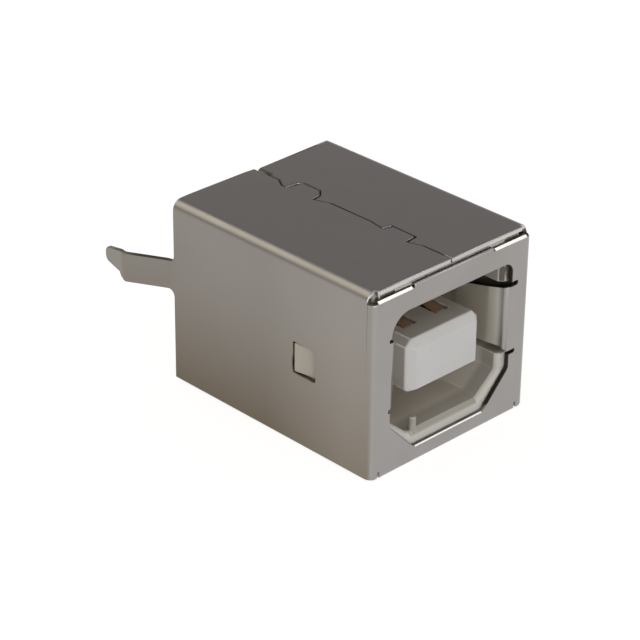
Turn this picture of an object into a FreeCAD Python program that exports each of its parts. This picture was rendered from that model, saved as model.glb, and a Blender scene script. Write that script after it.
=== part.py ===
import FreeCAD, Part

import math
import os

from FreeCAD import Vector

# Square type-B data socket for upright mounting: a folded metal shell, one white moulding with
# the tongue, and four strip contacts. X runs across the mouth, Y from the mating face (0) back
# to the board, Z up from the bottom wall to the wall with the dovetail seam. Millimetres.

# Shell sheet and its outer size
sheet = 0.30
shell_width = 12.42
shell_height = 11.35
shell_depth = 15.66

# Inner radii of the folds, and the outer edge of the bottom one, which is struck sharp
upright_bend = 0.15
top_bend = 0.30
flap_bend = 0.12
leg_bend = 0.35
bottom_edge = 0.12

# Front frame
mouth_half_width = 4.70
mouth_bottom = 0.93
mouth_top = 9.56
mouth_corner_left = 1.30
mouth_corner_right = 0.62
mouth_low_corner = 0.30
mouth_chamfer_side = 2.92
mouth_chamfer_floor = 2.78
frame_drop = 0.38
frame_side_step = 0.12
notch_place = 3.14
notch_width = 0.16
notch_depth = 0.10
corner_relief = 0.15
side_edge_rise = 0.12
side_edge_run = 0.40

# Bottom plate, folded back from the frame and lying between the side walls
bottom_fold_half_width = 5.40
bottom_fold_rise = 0.42
bottom_fold_run = 0.75
plate_gap = 0.05

# Top plate, which reaches forward over the frame's upper edge
plate_front = 0.22

# Side springs, cut from the frame, folded into the mouth and narrower towards the end
spring_low = 4.04
spring_high = 8.06
spring_slit = 0.24
slit_reach_left = 0.06
slit_reach_right = 0.34
spring_fold = 4.42
spring_bow_x = 4.12
spring_bow_y = 1.25
spring_bow_radius = 1.20
spring_touch_x = 3.90
spring_touch_y = 3.30
spring_touch_radius = 0.70
spring_end_x = 4.15
spring_end_y = 4.60
spring_shoulder_drop = 0.08
spring_heel_rise = 0.25
spring_end_round = 0.50
spring_taper_high = 7.15
spring_taper_low = 4.36

# Windows in the side walls
window_front = 4.22
window_back = 6.00
window_low = 4.46
window_high = 6.36
window_corner = 0.15

# Dovetail seam along the top
seam_gap = 0.06
seam_lean = 0.06
tab_root = 0.38
tab_run = 1.05
tab_lead = 0.15
tab_heel = 0.45
first_tab_front = 3.28
first_tab_back = 5.21
first_tab_reach = 0.44
second_tab_front = 10.49
second_tab_back = 12.56
second_tab_reach = 0.70
tab_corner = 0.25
rear_notch_width = 0.26
rear_notch_length = 1.20
stub_width = 0.75
stub_length = 0.12

# Shield legs
leg_centre = 6.585
leg_width = 1.81
leg_root_fillet = 0.40
leg_straight = 0.45
leg_elbow_run = 2.85
leg_spread = 1.32
leg_length = 4.80
leg_tip_spread = 0.92
leg_tip_width = 0.80
leg_tip_rise = 0.10
leg_neck = 0.40
leg_step = 0.45
leg_step_round = 0.15
leg_round = 0.30

# Insulator
fit_gap = 0.05
front_gap = 0.04
rear_recess = 0.30
edge_chamfer = 0.45
cavity_half_width = 4.22
cavity_bottom = 1.61
cavity_top = 9.39
cavity_corner = 0.50
cavity_low_corner = 0.20
cavity_chamfer_side = 2.80
cavity_chamfer_floor = 2.80
cavity_depth = 9.20
rim_bevel = 0.30
spring_pocket_x = 5.12
spring_pocket_low = 3.80
spring_pocket_high = 8.28
spring_pocket_depth = 5.20
latch_gap = 0.10
latch_shy = 0.06

# Tongue
tongue_half_width = 2.80
tongue_low = 3.92
tongue_high = 7.10
tongue_front = 0.37
tongue_bevel = 0.45
tongue_under_bevel = 0.26
tongue_edge = 0.40
tongue_under_edge = 0.20

# Contacts and their channels
contact_pitch = 2.50
contact_rows = 2.00
contact_width = 0.86
contact_sheet = 0.25
contact_front = 2.10
contact_crest = 3.10
contact_proud = 0.06
contact_dip = 0.18
contact_bend = 0.35
contact_shoulder = 1.60
tail_width = 0.60
tail_length = 3.60
tail_point = 0.45
channel_width = 1.08
channel_front = 1.95
channel_depth = 1.05
slot_gap = 0.02

# Rear of the insulator
foot_radius = 0.55
foot_rise = 0.55
foot_x = 3.60
foot_inset = 0.85
core_near = 2.50
core_far = 4.70
core_rib = 0.90
core_edge = 1.85
core_depth = 4.80

# Moulding nub, which stands on the cavity's rim and rises past the cavity floor
nub_radius = 0.21
nub_height = 0.80
nub_x = -2.33
nub_y = 0.60

# Values that follow from those above
half_width = shell_width / 2
inner_half_width = half_width - sheet
wall_start = upright_bend + sheet
spring_root = spring_fold + flap_bend + sheet
frame_top = shell_height - frame_drop
tongue_middle = (tongue_low + tongue_high) / 2
full_length = shell_depth + leg_length
mid_length = full_length / 2


def in_plan(z):
    """Places a flat (x, y) point at height z."""
    return lambda a, b: Vector(a, b, z)


def from_front(y):
    """Places a flat (x, z) point at depth y."""
    return lambda a, b: Vector(a, y, b)


def from_side(x):
    """Places a flat (y, z) point at x."""
    return lambda a, b: Vector(x, a, b)


def corner_arc(before, corner, after, radius):
    """Start, middle and end of the arc that rounds one corner of a flat path."""
    ax, ay = before[0] - corner[0], before[1] - corner[1]
    bx, by = after[0] - corner[0], after[1] - corner[1]
    la, lb = math.hypot(ax, ay), math.hypot(bx, by)
    ax, ay, bx, by = ax / la, ay / la, bx / lb, by / lb
    half = math.acos(max(-1.0, min(1.0, ax * bx + ay * by))) / 2
    run = radius / math.tan(half)
    mx, my = ax + bx, ay + by
    size = math.hypot(mx, my)
    mx, my = mx / size, my / size
    reach = radius / math.sin(half) - radius
    start = (corner[0] + ax * run, corner[1] + ay * run)
    middle = (corner[0] + mx * reach, corner[1] + my * reach)
    end = (corner[0] + bx * run, corner[1] + by * run)
    return start, middle, end


def closed_wire(corners, place):
    """Closed wire through (a, b, radius) corners, each corner rounded where its radius isn't 0."""
    spots = []
    for i, (a, b, radius) in enumerate(corners):
        if radius:
            spots.append(corner_arc(corners[i - 1], (a, b), corners[(i + 1) % len(corners)], radius))
        else:
            spots.append(((a, b),))
    edges = []
    for i, spot in enumerate(spots):
        if len(spot) == 3:
            edges.append(Part.Arc(*[place(*p) for p in spot]).toShape())
        start, end = place(*spot[-1]), place(*spots[(i + 1) % len(spots)][0])
        if (end - start).Length > 1e-7:
            edges.append(Part.LineSegment(start, end).toShape())
    return Part.Wire(edges)


def prism(corners, place, push):
    """Solid between a flat outline and its copy moved by push."""
    return Part.Face(closed_wire(corners, place)).extrude(push)


def taper(corners_a, place_a, corners_b, place_b):
    """Solid between two outlines of like corners in two planes, with straight sides."""
    return Part.makeLoft([closed_wire(corners_a, place_a), closed_wire(corners_b, place_b)], True, True)


def block(x0, x1, y0, y1, z0, z1):
    """Box between two corners."""
    return Part.makeBox(x1 - x0, y1 - y0, z1 - z0, Vector(x0, y0, z0))


def beside(path, distance):
    """Flat path moved sideways by a distance, to its left where the distance is positive."""
    moved = []
    for i, (a, b) in enumerate(path):
        normals = []
        for p, q in ((path[max(i - 1, 0)], (a, b)), ((a, b), path[min(i + 1, len(path) - 1)])):
            length = math.hypot(q[0] - p[0], q[1] - p[1])
            if length:
                normals.append(((p[1] - q[1]) / length, (q[0] - p[0]) / length))
        n, m = normals[0], normals[-1]
        share = distance / (1 + n[0] * m[0] + n[1] * m[1])
        moved.append((a + (n[0] + m[0]) * share, b + (n[1] + m[1]) * share))
    return moved


def bent_sheet(path, inner_radii, thickness):
    """Outline of a bent sheet: one face along the path, the other a thickness to its left."""
    near, far = [], []
    other = beside(path, thickness)
    size = abs(thickness)
    for i, (p, q) in enumerate(zip(path, other)):
        radius = inner_radii[i]
        if radius == 0:
            near.append((*p, 0))
            far.append((*q, 0))
            continue
        before, after = path[i - 1], path[i + 1]
        turn = (p[0] - before[0]) * (after[1] - p[1]) - (p[1] - before[1]) * (after[0] - p[0])
        path_inside = turn * thickness < 0
        near.append((*p, radius if path_inside else radius + size))
        far.append((*q, radius + size if path_inside else radius))
    return near + far[::-1]


def mirrored(shape):
    """Copy of a shape on the other side of the middle plane."""
    return shape.mirror(Vector(0, 0, 0), Vector(1, 0, 0))


def mouth_corners(half, bottom, top, chamfer_side, chamfer_floor,
                  round_left, round_right, round_low, grow=0.0):
    """Outline of the mouth: rounded upper corners and two cut lower ones."""
    cut = grow * math.tan(math.pi / 8)
    return [
        (-half - grow, chamfer_side - cut, round_low),
        (-half - grow, top + grow, round_left + grow),
        (half + grow, top + grow, round_right + grow),
        (half + grow, chamfer_side - cut, round_low),
        (chamfer_floor + cut, bottom - grow, round_low),
        (-chamfer_floor - cut, bottom - grow, round_low),
    ]


def seam_path():
    """Line of the seam from the front edge to the rear, in plan, round the left half's two tabs."""
    return [
        (-seam_lean, 0),
        (-seam_lean, first_tab_front - tab_run),
        (-tab_root, first_tab_front - tab_lead),
        (-tab_root, first_tab_front),
        (first_tab_reach, first_tab_front),
        (first_tab_reach, first_tab_back),
        (-tab_root / 2, first_tab_back),
        (0, first_tab_back + tab_run),
        (0, second_tab_front - tab_run),
        (-tab_root, second_tab_front - tab_lead),
        (-tab_root, second_tab_front),
        (second_tab_reach - 2 * tab_corner, second_tab_front),
        (second_tab_reach, second_tab_front + 2 * tab_corner),
        (second_tab_reach, second_tab_back - tab_corner),
        (second_tab_reach - tab_corner, second_tab_back),
        (-tab_root, second_tab_back),
        (-tab_root, second_tab_back + tab_heel),
        (0, second_tab_back + tab_run),
        (0, shell_depth + 1),
    ]


def seam_side(side):
    """Everything on one side of the seam (-1 left, 1 right), half a gap away from its line."""
    path = beside(seam_path(), -side * seam_gap / 2)
    far = side * shell_width
    corners = [(x, y, 0) for x, y in path] + [(far, path[-1][1], 0), (far, path[0][1], 0)]
    return prism(corners, in_plan(-1), Vector(0, 0, shell_height + 2))


def side_wall(side):
    """Side wall with its half of the top plate, as far as the seam."""
    path = [
        (-half_width, side_edge_rise),
        (-half_width, shell_height),
        (second_tab_reach + 1, shell_height),
    ]
    corners = bent_sheet(path, [0, top_bend, 0], -sheet)
    wall = prism(corners, from_front(wall_start), Vector(0, shell_depth - wall_start, 0))
    eaves = block(-half_width + top_bend + sheet, second_tab_reach + 1, plate_front, wall_start + sheet,
                  shell_height - sheet, shell_height)
    wall = wall.fuse(eaves)
    if side > 0:
        wall = mirrored(wall)
    return wall.common(seam_side(side))


def side_window(side):
    """Cutter for the latch window of one side wall."""
    opening = [
        (window_front, window_low, window_corner), (window_front, window_high, window_corner),
        (window_back, window_high, window_corner), (window_back, window_low, window_corner),
    ]
    return prism(opening, from_side(side * half_width - 0.5), Vector(1, 0, 0))


def frame_cutters(side):
    """Cutters for one side of the frame: its two ends, the notch at the top and the spring's slits."""
    edge = bottom_fold_half_width + corner_relief
    out = half_width + 1
    under = [
        (side * edge, -1, 0), (side * edge, side_edge_rise / 2, 0),
        (side * (half_width - side_edge_run), side_edge_rise / 2, 0), (side * half_width, side_edge_rise, 0),
        (side * out, side_edge_rise, 0), (side * out, -1, 0),
    ]
    shoulder = frame_top - frame_side_step
    fold_top = shell_height - top_bend - sheet - plate_gap
    spans = [
        (notch_place, out, shoulder),
        (notch_place - notch_width / 2, notch_place + notch_width / 2, shoulder - notch_depth),
        (half_width - wall_start, out, fold_top),
    ]
    cutters = [prism(under, from_front(-1), Vector(0, wall_start + 2, 0))]
    for near, far, low in spans:
        cutters.append(block(*sorted((side * near, side * far)), -1, wall_start + 1, low, shell_height + 1))
    cutters.append(block(*sorted((side * (spring_fold - sheet), side * spring_root)), -1, sheet + 1,
                         spring_low - spring_slit, spring_high + spring_slit))
    half = spring_slit / 2
    end = side * (spring_root + (slit_reach_right if side > 0 else slit_reach_left) - half)
    for z in (spring_low - half, spring_high + half):
        cutters.append(block(*sorted((side * spring_fold, end)), -1, sheet + 1, z - half, z + half))
        cutters.append(Part.makeCylinder(half, sheet + 2, Vector(end, -1, z), Vector(0, 1, 0)))
    return cutters


def front_frame():
    """Front plate with its two upright folds, before the springs are set in."""
    path = [(-half_width, wall_start), (-half_width, 0), (half_width, 0), (half_width, wall_start)]
    corners = bent_sheet(path, [0, upright_bend, upright_bend, 0], sheet)
    frame = prism(corners, in_plan(0), Vector(0, 0, frame_top))
    mouth = mouth_corners(mouth_half_width, mouth_bottom, mouth_top, mouth_chamfer_side,
                          mouth_chamfer_floor, mouth_corner_left, mouth_corner_right, mouth_low_corner)
    edge = bottom_fold_half_width + corner_relief
    cutters = [
        prism(mouth, from_front(-1), Vector(0, 2, 0)),
        block(-edge, edge, -1, sheet + 1, -1, bottom_fold_rise),
    ]
    return frame.cut(Part.makeCompound(cutters + frame_cutters(-1) + frame_cutters(1)))


def bottom_plate():
    """Bottom wall, folded back from the frame's lower edge."""
    fold = [
        (0, bottom_fold_rise, 0), (0, 0, bottom_edge), (bottom_fold_run, 0, 0),
        (bottom_fold_run, sheet, 0), (sheet, sheet, 0), (sheet, bottom_fold_rise, 0),
    ]
    half = bottom_fold_half_width
    x = inner_half_width - plate_gap
    plate = block(-x, x, bottom_fold_run, shell_depth, 0, sheet)
    return plate.fuse(prism(fold, from_side(-half), Vector(2 * half, 0, 0)))


def side_spring(side):
    """Spring folded inwards from the frame at one side of the mouth, narrower towards its end."""
    path = [
        (-spring_root - plate_gap, 0),
        (-spring_fold, 0),
        (-spring_bow_x, spring_bow_y),
        (-spring_touch_x, spring_touch_y),
        (-spring_end_x, spring_end_y),
    ]
    radii = [0, flap_bend, spring_bow_radius, spring_touch_radius, 0]
    spring = prism(bent_sheet(path, radii, sheet), in_plan(0), Vector(0, 0, shell_height))
    end = spring_end_y + sheet
    outline = [
        (-1, spring_low, 0),
        (flap_bend / 2, spring_low, 0),
        (wall_start, spring_low + spring_heel_rise, 0),
        (end, spring_taper_low, spring_end_round),
        (end, spring_taper_high, spring_end_round),
        (wall_start, spring_high - spring_shoulder_drop, 0),
        (flap_bend / 2, spring_high, 0),
        (-1, spring_high, 0),
    ]
    spring = spring.common(prism(outline, from_side(-half_width), Vector(shell_width, 0, 0)))
    return mirrored(spring) if side > 0 else spring


def shield_leg(side):
    """Solder leg in line with a side wall: kinked outwards, then drawn in to a rounded tip."""
    start = shell_depth - sheet
    path = [
        (-half_width, start),
        (-half_width, shell_depth + leg_straight),
        (-half_width - leg_spread, shell_depth + leg_elbow_run),
        (-half_width - leg_tip_spread, full_length + sheet),
    ]
    strip = prism(bent_sheet(path, [0, leg_bend, leg_bend, 0], -sheet), in_plan(0),
                  Vector(0, 0, shell_height))
    low, high = leg_centre - leg_width / 2, leg_centre + leg_width / 2
    tip_low = leg_centre + leg_tip_rise - leg_tip_width / 2
    tip_high = tip_low + leg_tip_width
    elbow = shell_depth + leg_elbow_run
    neck = elbow + leg_neck
    tip_round = leg_tip_width * 0.45
    outline = [
        (start, high + 2 * leg_root_fillet, 0),
        (shell_depth, high + 2 * leg_root_fillet, 0),
        (shell_depth, high, leg_root_fillet),
        (neck, high, leg_round),
        (full_length, tip_high, tip_round),
        (full_length, tip_low, tip_round),
        (neck, low + leg_step, leg_step_round),
        (elbow, low, leg_round),
        (shell_depth, low, leg_root_fillet),
        (shell_depth, low - 2 * leg_root_fillet, 0),
        (start, low - 2 * leg_root_fillet, 0),
    ]
    reach = half_width + 2 * leg_spread
    leg = strip.common(prism(outline, from_side(-reach), Vector(reach, 0, 0)))
    return mirrored(leg) if side > 0 else leg


def carrier_stub():
    """Short remnant of the carrier strip on the left half's rear edge."""
    x = -seam_gap / 2
    return block(x - stub_width, x, shell_depth - sheet, shell_depth + stub_length,
                 shell_height - sheet, shell_height)


def build_shell():
    """The folded shell as one solid."""
    pieces = [bottom_plate(), carrier_stub()]
    for side in (-1, 1):
        pieces += [side_wall(side), side_spring(side), shield_leg(side)]
    shell = front_frame().multiFuse(pieces)
    rear_notch = block(-seam_gap / 2, rear_notch_width, shell_depth - rear_notch_length,
                       shell_depth + 1, shell_height - sheet - fit_gap, shell_height + 1)
    shell = shell.cut(Part.makeCompound([side_window(-1), side_window(1), rear_notch]))
    return shell.removeSplitter()


def insulator_body():
    """Outer block of the moulding, eased where the shell's folds run past it."""
    x = inner_half_width - fit_gap
    low, high = sheet + fit_gap, shell_height - sheet - fit_gap
    front, rear = sheet + front_gap, shell_depth - rear_recess
    ease = top_bend
    corners = [(-x, low, 0), (-x, high, ease), (x, high, ease), (x, low, 0)]
    body = prism(corners, from_front(front), Vector(0, rear - front, 0))
    cutters = []
    for side in (-1, 1):
        nose = [
            (side * x, front, 0),
            (side * (x - edge_chamfer), front, 0),
            (side * x, front + edge_chamfer, 0),
        ]
        cutters.append(prism(nose, in_plan(-1), Vector(0, 0, shell_height + 2)))
    lip = [(front, low, 0), (front + edge_chamfer, low, 0), (front, low + edge_chamfer, 0)]
    cutters.append(prism(lip, from_side(-half_width), Vector(shell_width, 0, 0)))
    return body.cut(Part.makeCompound(cutters))


def cavity_corners(grow=0.0):
    """Outline of the plug cavity, grown by a distance at the mouth."""
    return mouth_corners(cavity_half_width, cavity_bottom, cavity_top, cavity_chamfer_side,
                         cavity_chamfer_floor, cavity_corner, cavity_corner, cavity_low_corner, grow)


def cavity():
    """Cutter for the plug cavity with its bevelled mouth and the two spring pockets."""
    front = sheet + front_gap
    hollow = prism(cavity_corners(), from_front(front - 1), Vector(0, cavity_depth - front + 1, 0))
    bevel = taper(cavity_corners(rim_bevel), from_front(front),
                  cavity_corners(), from_front(front + rim_bevel))
    pockets = [
        block(*sorted((side * (cavity_half_width - 0.5), side * spring_pocket_x)), front - 1,
              spring_pocket_depth, spring_pocket_low, spring_pocket_high)
        for side in (-1, 1)
    ]
    return hollow.multiFuse([bevel] + pockets)


def tongue_corners(inset_x, inset_low, inset_high, edge, under_edge):
    """Outline of the tongue's section, drawn in at the nose."""
    x, low, high = tongue_half_width - inset_x, tongue_low + inset_low, tongue_high - inset_high
    return [
        (-x, low + under_edge, 0), (-x, high - edge, 0), (-x + edge, high, 0), (x - edge, high, 0),
        (x, high - edge, 0), (x, low + under_edge, 0), (x - under_edge, low, 0), (-x + under_edge, low, 0),
    ]


def tongue():
    """Tongue with a bevelled nose, standing on the cavity's end wall."""
    shoulder = tongue_front + tongue_bevel
    full = tongue_corners(0, 0, 0, tongue_edge, tongue_under_edge)
    nose = tongue_corners(tongue_bevel, tongue_under_bevel, tongue_bevel,
                          tongue_edge / 4, tongue_under_edge / 4)
    bar = prism(full, from_front(shoulder), Vector(0, cavity_depth - shoulder, 0))
    return bar.fuse(taper(nose, from_front(tongue_front), full, from_front(shoulder)))


def contact_path(up):
    """Outer face of a contact in the (y, z) plane: hooked tip, crest, spring and straight tail."""
    face = contact_rows / 2 + contact_sheet / 2
    crest = tongue_high + contact_proud - tongue_middle
    path = [
        (contact_front, crest - contact_dip),
        (contact_crest, crest),
        (cavity_depth - 0.5, face),
        (shell_depth + tail_length, face),
    ]
    return [(y, tongue_middle + up * z) for y, z in path]


def contact_strip(x, up, width, spare):
    """Bent strip of a contact, wider and thicker by the spare on every side."""
    path = contact_path(up)
    if spare:
        path = beside(path, up * spare)
    corners = bent_sheet(path, [0, contact_bend, contact_bend, 0], -up * (contact_sheet + 2 * spare))
    half = width / 2 + spare
    return prism(corners, from_side(x - half), Vector(2 * half, 0, 0))


def build_contact(x, up):
    """One contact: a spring in the tongue's channel, a shoulder in the base and a narrow tail."""
    strip = contact_strip(x, up, contact_width, 0)
    shoulder = shell_depth - contact_shoulder
    end = shell_depth + tail_length
    half, narrow, point = contact_width / 2, tail_width / 2, tail_width / 4
    outline = [
        (x - half, 0, 0), (x + half, 0, 0),
        (x + half, shoulder, 0), (x + narrow, shoulder + half - narrow, 0),
        (x + narrow, end - tail_point, 0), (x + point, end, 0), (x - point, end, 0),
        (x - narrow, end - tail_point, 0), (x - narrow, shoulder + half - narrow, 0),
        (x - half, shoulder, 0),
    ]
    return strip.common(prism(outline, in_plan(0), Vector(0, 0, shell_height)))


def contact_places():
    """X and side of each contact, upper row first."""
    return [(x, up) for up in (1, -1) for x in (-contact_pitch / 2, contact_pitch / 2)]


def contact_channels():
    """Cutters for the four open channels in the tongue and the slots through the base."""
    cutters = []
    for x, up in contact_places():
        surface = tongue_high if up > 0 else tongue_low
        low, high = sorted((surface - up * channel_depth, surface + up * 0.5))
        half = channel_width / 2
        cutters.append(block(x - half, x + half, channel_front, cavity_depth, low, high))
        slot = contact_strip(x, up, contact_width, slot_gap)
        base = block(x - half, x + half, cavity_depth - slot_gap, shell_depth + 1, 0, shell_height)
        cutters.append(slot.common(base))
    return cutters


def latch(side):
    """Ramp that snaps into a side window: low towards the mouth, square at its back."""
    root = inner_half_width - 2 * fit_gap
    path = [
        (side * root, window_front + latch_gap, 0),
        (side * (inner_half_width - fit_gap), window_front + latch_gap, 0),
        (side * (half_width - latch_shy), window_back - 2 * latch_gap, 0),
        (side * (half_width - latch_shy), window_back - latch_gap, 0),
        (side * root, window_back - latch_gap, 0),
    ]
    return prism(path, in_plan(window_low + latch_gap / 2),
                 Vector(0, 0, window_high - window_low - 3 * latch_gap / 2))


def rear_cores():
    """Cutters for the four pockets that keep the base's walls even."""
    rear = shell_depth - rear_recess
    low, high = core_edge, shell_height - core_edge
    middle = (low + high) / 2
    cutters = []
    for side in (-1, 1):
        x0, x1 = sorted((side * core_near, side * core_far))
        for z0, z1 in ((low, middle - core_rib / 2), (middle + core_rib / 2, high)):
            cutters.append(block(x0, x1, rear - core_depth, rear + 1, z0, z1))
    return cutters


def board_feet():
    """Four round feet that hold the base off the board."""
    rear = shell_depth - rear_recess
    return [
        Part.makeCylinder(foot_radius, foot_rise, Vector(side * foot_x, rear, z), Vector(0, 1, 0))
        for side in (-1, 1)
        for z in (sheet + fit_gap + foot_inset, shell_height - sheet - fit_gap - foot_inset)
    ]


def build_insulator():
    """The white moulding as one solid."""
    nub_foot = Vector(nub_x, nub_y, cavity_bottom - rim_bevel)
    nub = Part.makeCylinder(nub_radius, nub_height + rim_bevel, nub_foot)
    body = insulator_body().cut(cavity())
    body = body.multiFuse([tongue(), latch(-1), latch(1), nub] + board_feet())
    return body.cut(Part.makeCompound(contact_channels() + rear_cores())).removeSplitter()


def save(name, shape):
    """Writes one piece, moved so that the whole part's middle is above the origin."""
    placed = shape.copy()
    placed.translate(Vector(0, -mid_length, 0))
    print(name, placed.ShapeType, len(placed.Solids), placed.isValid(), round(placed.Volume, 3), "mm3")
    placed.exportStep("parts/" + name + ".step")


os.makedirs("parts", exist_ok=True)
save("shell", build_shell())
save("insulator", build_insulator())
for number, (x, up) in enumerate(contact_places(), start=1):
    save("contact_%d" % number, build_contact(x, up))
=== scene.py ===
import math
import bmesh
import bpy
import numpy as np
from mathutils import Matrix, Vector
from mathutils.bvhtree import BVHTree
from mathutils.kdtree import KDTree


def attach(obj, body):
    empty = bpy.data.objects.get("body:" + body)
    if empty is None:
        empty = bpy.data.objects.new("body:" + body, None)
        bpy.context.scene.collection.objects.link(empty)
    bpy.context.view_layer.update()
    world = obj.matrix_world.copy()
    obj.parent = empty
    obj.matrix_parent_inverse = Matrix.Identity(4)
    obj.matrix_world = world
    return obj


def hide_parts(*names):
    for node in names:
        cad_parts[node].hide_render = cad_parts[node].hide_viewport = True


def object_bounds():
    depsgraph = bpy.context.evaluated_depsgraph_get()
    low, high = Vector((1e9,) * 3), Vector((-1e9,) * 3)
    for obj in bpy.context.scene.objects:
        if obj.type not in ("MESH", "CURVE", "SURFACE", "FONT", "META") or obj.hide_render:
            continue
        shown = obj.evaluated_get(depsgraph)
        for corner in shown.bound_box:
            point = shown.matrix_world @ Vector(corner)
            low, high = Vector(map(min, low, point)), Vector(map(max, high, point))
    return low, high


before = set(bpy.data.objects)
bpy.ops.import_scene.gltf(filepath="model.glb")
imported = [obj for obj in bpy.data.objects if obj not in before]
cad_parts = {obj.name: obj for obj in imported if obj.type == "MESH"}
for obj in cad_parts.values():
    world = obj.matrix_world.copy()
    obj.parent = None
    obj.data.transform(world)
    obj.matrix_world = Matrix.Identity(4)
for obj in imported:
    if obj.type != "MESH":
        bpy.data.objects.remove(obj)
cad_box = [list(corner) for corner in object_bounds()]


# The insulator
# One moulding of white, glass-filled plastic that carries everything else: the plug cavity, the tongue and the
# seats of the contacts. It slides into the folded shell from the rear and its two ramps snap into the windows.

front = cad_box[0][1]
mm = 0.001


def finished(node, name, corner, flats=()):
    """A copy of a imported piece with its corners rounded, as a tool or a press leaves them. In millimetres, the
    loose triangles are merged and flat neighbours joined, then each edge that turns far enough is set back by
    corner and rounded over. Where a corner is too tight and the rounding folds over itself, the edges beside
    the fold are left sharp and the rounding is done again. The rounded strips carry the mark "edge". Each entry
    of flats is a width with a rule that picks the edges which the tool left as a flat, and these come first."""
    merged, level, turned, folded, smooth = 0.002, *(math.radians(a) for a in (0.5, 28.0, 140.0, 35.0))
    clear, far, tries = corner * 1.5, 1.0, 8
    plain = bmesh.new()
    plain.from_mesh(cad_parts[node].data)
    plain.transform(Matrix.Scale(1.0 / mm, 4))
    bmesh.ops.remove_doubles(plain, verts=plain.verts, dist=merged)
    bmesh.ops.dissolve_limit(plain, angle_limit=level, verts=plain.verts, edges=plain.edges)
    strip = plain.faces.layers.float.new("edge")
    for width, rule in flats:
        chosen = [edge for edge in plain.edges if rule(*(v.co for v in edge.verts))]
        flat = bmesh.ops.bevel(plain, geom=chosen, offset=width, offset_type="OFFSET", segments=1,
                               profile=0.5, affect="EDGES", clamp_overlap=False)
        for face in flat["faces"]:
            face[strip] = 1.0
    tight = []
    for attempt in range(tries):
        work = plain.copy()
        strip = work.faces.layers.float["edge"]
        known = KDTree(len(tight))
        for number, spot in enumerate(tight):
            known.insert(spot, number)
        known.balance()
        sharp = []
        for edge in work.edges:
            ends = [v.co for v in edge.verts]
            room = all((known.find(p)[2] or far) > clear for p in (*ends, (ends[0] + ends[1]) / 2))
            if room and edge.calc_face_angle(0.0) > turned:
                sharp.append(edge)
        rounded = bmesh.ops.bevel(work, geom=sharp, offset=corner, offset_type="OFFSET", segments=3,
                                  profile=0.5, affect="EDGES", clamp_overlap=False)
        for face in rounded["faces"]:
            face[strip] = 1.0
        test = work.copy()
        bmesh.ops.triangulate(test, faces=test.faces)
        folds = [(edge.verts[0].co + edge.verts[1].co) / 2 for edge in test.edges
                 if edge.calc_face_angle(0.0) > folded]
        test.free()
        if not folds:
            break
        tight += folds
        work.free()
    work.transform(Matrix.Scale(mm, 4))
    mesh = bpy.data.meshes.new(name)
    work.to_mesh(mesh)
    work.free()
    plain.free()
    mesh.shade_smooth()
    mesh.set_sharp_from_angle(angle=smooth)
    piece = bpy.data.objects.new(name, mesh)
    bpy.context.scene.collection.objects.link(piece)
    even = piece.modifiers.new("flat faces stay flat", "WEIGHTED_NORMAL")
    even.weight = 60
    even.keep_sharp = True
    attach(piece, "root")
    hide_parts(node)
    return piece


def put(tree, kind, wires=(), **settings):
    """Adds a node to a tree and sets its options. Each wire is an input's name or number with what goes into
    it, a plain value or the output that feeds it."""
    made = tree.nodes.new("ShaderNode" + kind)
    for option, value in settings.items():
        setattr(made, option, value)
    for place, value in dict(wires).items():
        if isinstance(value, bpy.types.NodeSocket):
            tree.links.new(value, made.inputs[place])
        else:
            made.inputs[place].default_value = value
    return made


def combined(tree, operation, first, *others, **settings):
    """Values put together by one operation, from left to right."""
    if not others:
        return put(tree, "Math", {0: first}, operation=operation, **settings).outputs[0]
    for other in others:
        first = put(tree, "Math", {0: first, 1: other}, operation=operation, **settings).outputs[0]
    return first


def between(tree, share, low, high):
    """The value or colour that lies a share of the way from low to high."""
    if isinstance(high, tuple) or getattr(high, "type", "") == "RGBA":
        low, high = [(*end, 1.0) if isinstance(end, tuple) else end for end in (low, high)]
        return put(tree, "Mix", {0: share, 6: low, 7: high}, data_type="RGBA").outputs[2]
    return put(tree, "Mix", {0: share, 2: low, 3: high}).outputs[0]


def spread(tree, value, low, high, start=0.0, end=1.0):
    """A value taken from the range low to high onto the range start to end, and kept inside it."""
    return put(tree, "MapRange", {"Value": value, "From Min": low, "From Max": high, "To Min": start,
                                  "To Max": end}, clamp=True).outputs[0]


def measures(tree, place):
    """How far a point lies aside from the middle, behind the front face and above the board, in metres."""
    spot = put(tree, "SeparateXYZ", {0: place}).outputs
    return combined(tree, "ABSOLUTE", spot["X"]), combined(tree, "SUBTRACT", spot["Y"], front), spot["Z"]


def beyond(tree, length, low, high):
    """1 where a length is past high and 0 where it is short of low, both in millimetres."""
    return spread(tree, length, low * mm, high * mm)


def within(tree, length, low, high):
    """1 where a length is short of low and 0 where it is past high, both in millimetres."""
    return spread(tree, length, low * mm, high * mm, 1.0, 0.0)


def noise(tree, place, per_metre, detail=2.0):
    """Soft noise from 0 to 1, with so many swells to the metre."""
    wires = {"Vector": place, "Scale": per_metre, "Detail": detail}
    return put(tree, "TexNoise", wires).outputs["Fac"]


def effect(name, takes, gives):
    """A new node group for an effect that several finishes share, with its inside input and output sockets."""
    group = bpy.data.node_groups.new(name, "ShaderNodeTree")
    for label, value in takes.items():
        kind = "NodeSocketVector" if value is None else "NodeSocketFloat"
        socket = group.interface.new_socket(label, in_out="INPUT", socket_type=kind)
        if value is not None:
            socket.default_value = value
    for label in gives:
        group.interface.new_socket(label, in_out="OUTPUT", socket_type="NodeSocketFloat")
    return group, group.nodes.new("NodeGroupInput").outputs, group.nodes.new("NodeGroupOutput").inputs


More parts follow.
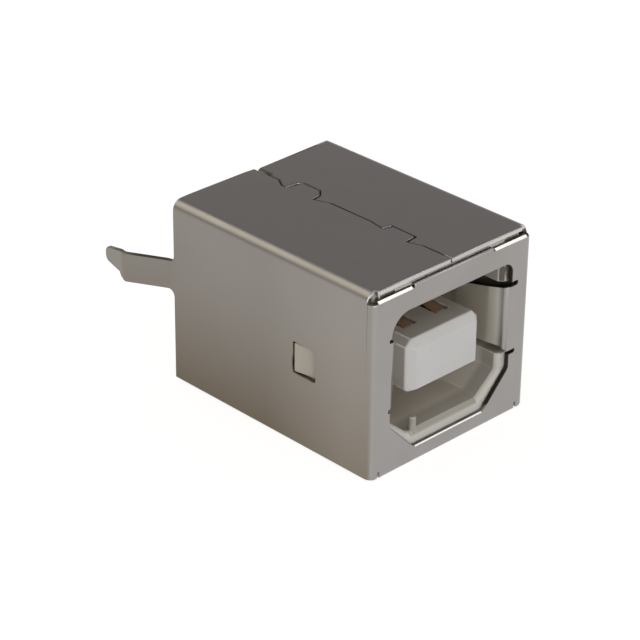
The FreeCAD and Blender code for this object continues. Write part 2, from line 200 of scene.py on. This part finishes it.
# Grain is the fine unevenness that every surface here has: spark marks in the mould, grains in the plating.
# Its cloud is the same on a scale about twenty times as wide.
grain, taken, given = effect("grain", {"Place": None, "Per metre": 9000.0}, ["Grain", "Cloud"])
fine = noise(grain, taken["Place"], taken["Per metre"], 3.0)
cloudy = noise(grain, taken["Place"], combined(grain, "MULTIPLY", taken["Per metre"], 0.045), 3.0)
grain.links.new(fine, given["Grain"])
grain.links.new(spread(grain, cloudy, 0.3, 0.7), given["Cloud"])

# Edge wear is what handling and tumbling leave on a corner: a rubbed line, broken where the corner was missed.
# On the nickel, and on the plastic where it is painted in shade, this line is also painted lighter, a painted
# highlight.
wear, taken, given = effect("edge wear", {"Place": None, "Edge": 0.0, "Missed": 0.45}, ["Rubbed"])
patchy = noise(wear, taken["Place"], 1700.0, 4.0)
kept = spread(wear, combined(wear, "SUBTRACT", patchy, taken["Missed"]), -0.06, 0.06)
wear.links.new(combined(wear, "MULTIPLY", kept, taken["Edge"]), given["Rubbed"])

# Specks are the pinholes, pressed-in grit and dust that a bright lamp shows on plated sheet and on plastic.
# About one cell in eight holds a speck.
specks, taken, given = effect("specks", {"Place": None, "Per metre": 2600.0, "Size": 0.1}, ["Speck"])
cells = put(specks, "TexVoronoi", {"Vector": taken["Place"], "Scale": taken["Per metre"]}).outputs
near = combined(specks, "LESS_THAN", cells["Distance"], taken["Size"])
few = combined(specks, "LESS_THAN", put(specks, "SeparateColor", {0: cells["Color"]}).outputs[0], 0.12)
specks.links.new(combined(specks, "MULTIPLY", near, few), given["Speck"])


def surface(name, **constants):
    """A new material with its plain constants set on the shader: the tree, the shader, the piece's own place,
    and a call that puts a shared effect in."""
    material = bpy.data.materials.new(name)
    material.use_nodes = True
    tree = material.node_tree
    shader = tree.nodes["Principled BSDF"]
    for socket, value in constants.items():
        shader.inputs[socket.replace("_", " ")].default_value = value
    place = put(tree, "TexCoord").outputs["Object"]

    def shared(group, **wires):
        named = {label.replace("_", " "): value for label, value in wires.items()}
        return put(tree, "Group", {"Place": place, **named}, node_tree=group).outputs

    return material, tree, shader, place, shared


def mark(tree, name):
    """A mark that a piece's faces carry, such as "edge", as a value."""
    return put(tree, "Attribute", attribute_name=name).outputs["Fac"]


def raised(tree, shader, height, depth):
    """Feeds a height from 0 to 1, so many metres deep, to the shader as a bump."""
    bump = put(tree, "Bump", {"Height": height, "Distance": depth, "Strength": 1.0})
    tree.links.new(bump.outputs["Normal"], shader.inputs["Normal"])


plastic, tree, shader, place, shared = surface("white moulded plastic", Metallic=0.0, IOR=1.5,
                                               Subsurface_Weight=0.2, Subsurface_Scale=0.0005,
                                               Subsurface_Radius=(1.0, 0.8, 0.6))
skin = shared(grain, Per_metre=8000.0)
dust = shared(specks, Per_metre=1500.0, Size=0.05)["Speck"]
wear_and_sheen = shared(wear, Edge=mark(tree, "edge"), Missed=0.42)["Rubbed"]
aside, behind, above = measures(tree, place)

# The cavity, its bevelled rim with the lip in front, and the nub that stands beside the rim. The cavity is
# painted a darker, warmer tone and the rim behind the lip darker still, a painted shade. The lip in front is
# left nearly plain, and the nub takes the rim's painted shade.
rim = within(tree, behind, 1.4, 1.8)
lip = within(tree, behind, 0.50, 0.72)
nub = combined(tree, "MULTIPLY", within(tree, aside, 2.60, 2.70), beyond(tree, above, 1.30, 1.40))
rim_shade_with_lip = between(tree, between(tree, nub, lip, 0.0), (0.40, 0.375, 0.32), (0.66, 0.65, 0.60))
colour = between(tree, rim, (0.585, 0.54, 0.465), rim_shade_with_lip)

# The tongue is painted a darker, warmer tone than its pale tip, a painted shade inside the cavity, and the
# pockets behind the side springs are painted nearly black, a painted shade.
tongue = combined(tree, "MULTIPLY", within(tree, aside, 2.90, 3.00), beyond(tree, above, 3.70, 3.80))
tip = within(tree, behind, 0.82, 0.95)
colour = between(tree, tongue, colour, between(tree, tip, (0.44, 0.415, 0.365), (0.695, 0.69, 0.68)))
pocket_shade = combined(tree, "MULTIPLY", beyond(tree, aside, 4.24, 4.27), beyond(tree, above, 3.84, 3.92),
                  within(tree, aside, 5.55, 5.60))
colour = between(tree, pocket_shade, colour, (0.10, 0.085, 0.07))

# Behind the cavity the plastic keeps its plain colour, without the painted shade, and over all lie a faint
# yellowing, rubbed edges painted lighter than the painted shade around them, a painted highlight, and a little
# dust.
colour = between(tree, beyond(tree, behind, 8.8, 9.6), colour, (0.70, 0.685, 0.64))
colour = between(tree, spread(tree, skin["Cloud"], 0.0, 1.0, 0.0, 0.12), colour, (0.50, 0.46, 0.38))
colour = between(tree, wear_and_sheen, colour, between(tree, tongue, (0.56, 0.535, 0.48), (0.68, 0.67, 0.63)))
colour = between(tree, dust, colour, (0.60, 0.575, 0.53))
tree.links.new(colour, shader.inputs["Base Color"])
tree.links.new(spread(tree, skin["Grain"], 0.3, 0.7, 0.42, 0.58), shader.inputs["Roughness"])
raised(tree, shader, skin["Grain"], 0.006 * mm)

moulding = finished("insulator", "insulator_moulding", 0.055)
moulding.data.materials.append(plastic)


# The contacts
# Four like strips blanked from thin copper alloy, two above and two below, pressed from behind into the
# tongue's channels. Each has a raised dimple for the plug's own contact, and a tail that goes into the board.

contact_place = 1.25 * mm

copper, tree, shader, place, shared = surface("copper alloy strip", Metallic=1.0)
skin = shared(grain, Per_metre=11000.0)
wear_and_sheen = shared(wear, Edge=mark(tree, "edge"), Missed=0.5)["Rubbed"]
stained = spread(tree, noise(tree, place, 900.0, 4.0), 0.42, 0.72)
aside = measures(tree, place)[0]
off_middle = combined(tree, "ABSOLUTE", combined(tree, "SUBTRACT", aside, contact_place))
colour = between(tree, stained, (0.95, 0.65, 0.50), (0.78, 0.49, 0.35))
# The strip is painted dark along its two long edges, a painted shade where they lie beside the channel walls.
colour = between(tree, beyond(tree, off_middle, 0.34, 0.42), colour, (0.16, 0.10, 0.07))
colour = between(tree, wear_and_sheen, colour, (0.78, 0.55, 0.40))
tree.links.new(colour, shader.inputs["Base Color"])
tree.links.new(spread(tree, skin["Grain"], 0.3, 0.7, 0.30, 0.48), shader.inputs["Roughness"])
raised(tree, shader, skin["Grain"], 0.002 * mm)

for number in (1, 2, 3, 4):
    strip = finished(f"contact_{number}", f"contact_strip_{number}", 0.03)
    strip.data.materials.append(copper)


# The shell
# One sheet of steel, nickel-plated, cut out and folded round the moulding. Dovetail tabs lock the seam across
# its top, side springs fold back into the mouth, and two kinked legs at the rear hold the socket for soldering.

sheet = 0.30


def mark_cuts(piece):
    """Marks each face where the sheet was cut. In millimetres, behind a face of the sheet's skin, its other
    skin lies one sheet thickness away along the normal, and behind a cut face it is farther."""
    start_inside, thicker = 0.004, sheet * 1.12
    mesh = piece.data
    mesh.calc_loop_triangles()
    triangles = mesh.loop_triangles
    corners = np.empty(len(mesh.vertices) * 3, np.float32)
    mesh.vertices.foreach_get("co", corners)
    corners = corners.reshape(-1, 3) * 1000.0
    picked = np.empty(len(triangles) * 3, np.int32)
    triangles.foreach_get("vertices", picked)
    picked = picked.reshape(-1, 3)
    owner = np.empty(len(triangles), np.int32)
    triangles.foreach_get("polygon_index", owner)
    a, b, c = (corners[picked[:, i]] for i in range(3))
    size = np.linalg.norm(np.cross(b - a, c - a), axis=1)
    normal = np.cross(b - a, c - a) / np.maximum(size, 1e-12)[:, None]
    centre = (a + b + c) / 3.0
    order = np.argsort(size)
    largest = np.zeros(len(mesh.polygons), np.int32)
    largest[owner[order]] = order
    solid = BVHTree.FromPolygons(corners.tolist(), picked.tolist())
    cut = np.zeros(len(mesh.polygons), np.float32)
    for face, t in enumerate(largest):
        inward = Vector(-normal[t])
        hit = solid.ray_cast(Vector(centre[t]) + inward * start_inside, inward)
        cut[face] = hit[0] is not None and hit[3] > thicker
    mesh.attributes.new("cut", "FLOAT", "FACE").data.foreach_set("value", cut)


nickel, tree, shader, place, shared = surface("nickel plating", Metallic=1.0)
skin = shared(grain, Per_metre=7000.0)
grit = shared(specks, Per_metre=1900.0, Size=0.07)["Speck"]
edge = mark(tree, "edge")
cut = mark(tree, "cut")
wear_and_sheen = shared(wear, Edge=edge, Missed=0.30)["Rubbed"]
aside, behind, above = measures(tree, place)
normal = put(tree, "SeparateXYZ", {0: put(tree, "NewGeometry").outputs["Normal"]}).outputs
ahead = spread(tree, normal["Y"], -0.60, -0.40, 1.0, 0.0)

# The plating. The side walls are painted darker than the front and the top, darker still towards the rear, and a
# brown painted shade grows on them towards the board and the rear: the shaded floor that they reflect.
wall = beyond(tree, aside, 6.02, 6.16)
rearward = beyond(tree, behind, 2.0, 8.0)
floor_shade_on_walls = combined(tree, "MULTIPLY", wall, combined(tree, "POWER", within(tree, above, 0.0, 9.5), 1.4))
colour = between(tree, skin["Cloud"], (0.322, 0.310, 0.300), (0.306, 0.293, 0.281))
colour = between(tree, wall, colour, between(tree, rearward, (0.285, 0.264, 0.242), (0.248, 0.232, 0.212)))
colour = between(tree, floor_shade_on_walls, colour, between(tree, rearward, (0.215, 0.185, 0.148), (0.140, 0.113, 0.083)))
colour = between(tree, grit, colour, (0.17, 0.155, 0.145))

# The side springs are painted bright where the sheet is folded into the mouth, a painted reflection of the lit
# plastic beside them.
springs = combined(tree, "MULTIPLY", beyond(tree, behind, 0.30, 0.60), within(tree, aside, 4.74, 4.84),
                   within(tree, above, 9.6, 9.8), beyond(tree, above, 2.8, 3.0))
colour = between(tree, springs, colour, (0.94, 0.91, 0.85))

# The cut faces. Where the punch went in, the cut face is painted bright, a painted highlight on the burnished
# band, and below it dark, a painted shade on the torn band; the rest is brown bare steel. The cut faces high on
# the top plate that face ahead are painted bright as a highlight, and the springs' and the mouth's cut faces are
# painted nearly black, a painted shade. The reliefs at the frame's lower corners look like the skin.
burnished_highlight = within(tree, behind, 0.10, 0.14)
cut_highlight_and_shade = between(tree, burnished_highlight, (0.09, 0.075, 0.062), (0.62, 0.61, 0.59))
highlit_top_cut = combined(tree, "MULTIPLY", beyond(tree, above, 10.99, 11.02), ahead)
patches = spread(tree, noise(tree, place, 700.0, 3.0), 0.40, 0.60)
bare_steel_and_painted_light = between(tree, patches, (0.30, 0.27, 0.20), (0.10, 0.085, 0.07))
bare_steel_and_painted_light = between(tree, highlit_top_cut, bare_steel_and_painted_light, (0.62, 0.61, 0.59))
bare_steel_and_painted_light = between(tree, springs, bare_steel_and_painted_light, (0.045, 0.035, 0.03))
mouth = combined(tree, "MULTIPLY", within(tree, aside, 5.24, 5.28), beyond(tree, above, 1.05, 1.25),
                 within(tree, above, 9.90, 10.00))
relief = combined(tree, "MULTIPLY", beyond(tree, aside, 5.30, 5.34), within(tree, above, 0.8, 0.9))
sheared = between(tree, beyond(tree, behind, 0.16, 0.21), cut_highlight_and_shade, bare_steel_and_painted_light)
sheared = between(tree, mouth, sheared, (0.085, 0.070, 0.058))
sheared = between(tree, relief, sheared, colour)
colour = between(tree, cut, colour, sheared)

# The rounded edges are rubbed, and painted brighter as a highlight. Along the seam only the flanks that face
# ahead get a painted glint, and the other seam edges are painted dark, a painted shade. The edges of the mouth,
# the reliefs and the side walls stay plain.
seam = combined(tree, "MULTIPLY", beyond(tree, above, 10.95, 11.00), within(tree, aside, 4.8, 5.0),
                beyond(tree, behind, 0.7, 0.9))
shaded_seam = combined(tree, "SUBTRACT", seam, ahead, use_clamp=True)
colour = between(tree, combined(tree, "MULTIPLY", shaded_seam, edge), colour, (0.135, 0.125, 0.118))
sides = combined(tree, "MULTIPLY", wall, within(tree, above, 10.5, 10.7))
plain = combined(tree, "MAXIMUM", mouth, shaded_seam, sides, relief)
glint = combined(tree, "MULTIPLY", seam, ahead, edge)
wear_and_sheen = combined(tree, "MAXIMUM", between(tree, plain, wear_and_sheen, 0.0), glint)
colour = between(tree, wear_and_sheen, colour, (0.46, 0.45, 0.435))
tree.links.new(colour, shader.inputs["Base Color"])

satin = spread(tree, skin["Cloud"], 0.0, 1.0, 0.30, 0.36)
satin = between(tree, springs, satin, 0.42)
satin = between(tree, cut, satin, 0.52)
satin = between(tree, between(tree, plain, edge, 0.0), satin, 0.24)
tree.links.new(satin, shader.inputs["Roughness"])
raised(tree, shader, skin["Grain"], 0.0007 * mm)

# In millimetres: what lies on the front face, and the heights that the three kinds of flat edge have.
on_front = front * 1000.0 + 0.005
frame_top, clear_of_notches = 10.80, 3.15
mouth_bottom = 0.93
plate_top, tab_reach = 11.34, 3.0


def upper_edge(a, b):
    """The upper edge of the front frame, outside the two notches."""
    return (max(a.y, b.y) < on_front and min(a.z, b.z) > frame_top
            and min(abs(a.x), abs(b.x)) > clear_of_notches)


def mouth_sill(a, b):
    """The lower edge of the mouth."""
    return max(a.y, b.y) < on_front and max(abs(a.z - mouth_bottom), abs(b.z - mouth_bottom)) < 0.02


def tab_flank(a, b):
    """The flanks of the dovetail tabs that run across the top plate."""
    return (min(a.z, b.z) > plate_top and min(a.y, b.y) > on_front + 1.0 and abs(a.x) < tab_reach
            and abs(a.x - b.x) > abs(a.y - b.y))


shell = finished("shell", "shell_sheet", 0.055, ((0.13, upper_edge), (0.05, mouth_sill), (0.17, tab_flank)))
mark_cuts(shell)
shell.data.materials.append(nickel)


# The stage
# A pale floor in a soft grey room. A bright lamp from the front right picks out the edges, a wide one from the
# front left lights the mouth, and a warm one from the rear left lies along the long top fold.

floor_reach, floor_squares, floor_drop = 1.5, 12, 0.01 * mm
floor_shown = 0.84
lamp_away = 0.3

paper = bpy.data.materials.new("pale paper")
paper.use_nodes = True
tree = paper.node_tree
tree.nodes.clear()
ray = put(tree, "LightPath").outputs
seen = combined(tree, "MAXIMUM", ray["Is Camera Ray"], ray["Is Glossy Ray"], ray["Is Transmission Ray"])
shown = combined(tree, "MULTIPLY", seen, floor_shown)
glow = put(tree, "Emission", {"Color": (1.0, 0.995, 0.985, 1.0), "Strength": shown}).outputs[0]
matt = put(tree, "BsdfDiffuse", {"Color": (0.33, 0.33, 0.33, 1.0)}).outputs[0]
both = put(tree, "AddShader", {0: glow, 1: matt}).outputs[0]
tree.links.new(both, put(tree, "OutputMaterial").inputs["Surface"])

line = floor_squares + 1
along = np.linspace(-floor_reach, floor_reach, line)
across, away = (grid.ravel() for grid in np.meshgrid(along, along))
first = np.arange(floor_squares)[:, None] * line + np.arange(floor_squares)[None, :]
squares = np.stack([first, first + 1, first + line + 1, first + line], axis=-1).reshape(-1, 4)
points = np.stack([across, away, np.full_like(across, -floor_drop)], axis=1)
mesh = bpy.data.meshes.new("floor")
mesh.from_pydata(points.tolist(), [], squares.tolist())
floor = bpy.data.objects.new("floor", mesh)
floor.data.materials.append(paper)
bpy.context.scene.collection.objects.link(floor)

# The room's light by the height of the direction, from straight down at 0 to straight up at 1. Between its
# ends the room is a little reddish.
room = bpy.data.worlds.new("soft grey room")
bpy.context.scene.world = room
room.use_nodes = True
tree = room.node_tree
height = put(tree, "SeparateXYZ", {0: put(tree, "TexCoord").outputs["Generated"]}).outputs["Z"]
level = put(tree, "ValToRGB", {0: spread(tree, height, 0.0, 1.0)})
level.color_ramp.elements[0].color = (0.80, 0.80, 0.79, 1.0)
level.color_ramp.elements[1].color = (0.55, 0.55, 0.56, 1.0)
for at, value in ((0.10, 0.68), (0.26, 0.48), (0.40, 0.30), (0.52, 0.285), (0.75, 0.38)):
    level.color_ramp.elements.new(at).color = (value, value * 0.965, value * 0.965, 1.0)
tree.links.new(level.outputs[0], tree.nodes["Background"].inputs["Color"])


def softbox(name, towards, width, light, tint):
    """A square soft lamp in a direction, so many degrees wide, of a plain level of light."""
    lamp = bpy.data.lights.new(name, "AREA")
    side = 2.0 * lamp_away * math.tan(math.radians(width / 2.0))
    lamp.size = side
    lamp.energy = light * math.pi * side * side
    lamp.color = tint
    stand = bpy.data.objects.new(name, lamp)
    aim = Vector(towards).normalized()
    turned = aim.to_track_quat("Z", "Y").to_matrix().to_4x4()
    stand.matrix_world = Matrix.Translation(aim * lamp_away) @ turned
    bpy.context.scene.collection.objects.link(stand)


softbox("front right lamp", (0.62, -0.48, 0.63), 20.0, 2.6, (1.0, 1.0, 1.0))
softbox("front left lamp", (-0.42, -0.90, 0.12), 42.0, 3.15, (1.0, 1.0, 1.0))
softbox("rear left lamp", (-0.36, 0.66, 0.62), 42.0, 1.2, (1.0, 0.94, 0.76))

# The camera of the photo: its direction and lean in degrees, the point it looks past, and how far it stands
# from that point and off the line to it, in metres.
turn, lift, lean = (math.radians(angle) for angle in (-44.606, 28.347, 0.7114))
looked_at, distance, off_right, off_up = Vector((0.0, -0.00223, 0.0054)), 0.137552, -0.0015339, -0.0007621
back = Vector((math.sin(turn) * math.cos(lift), -math.cos(turn) * math.cos(lift), math.sin(lift)))
right = (-back).cross(Vector((0.0, 0.0, 1.0))).normalized()
up = right.cross(-back)
sideways = right * math.cos(lean) + up * math.sin(lean)
upwards = up * math.cos(lean) - right * math.sin(lean)
stand = looked_at + back * distance + right * off_right + up * off_up
lens = bpy.data.cameras.new("camera")
lens.sensor_width = 36.0
lens.lens = 137.79
lens.clip_start = 0.01
lens.clip_end = 20.0
camera = bpy.data.objects.new("camera", lens)
camera.matrix_world = Matrix.Translation(stand) @ Matrix((sideways, upwards, back)).transposed().to_4x4()
bpy.context.scene.collection.objects.link(camera)
bpy.context.scene.camera = camera
bpy.context.scene.view_settings.view_transform = "Standard"
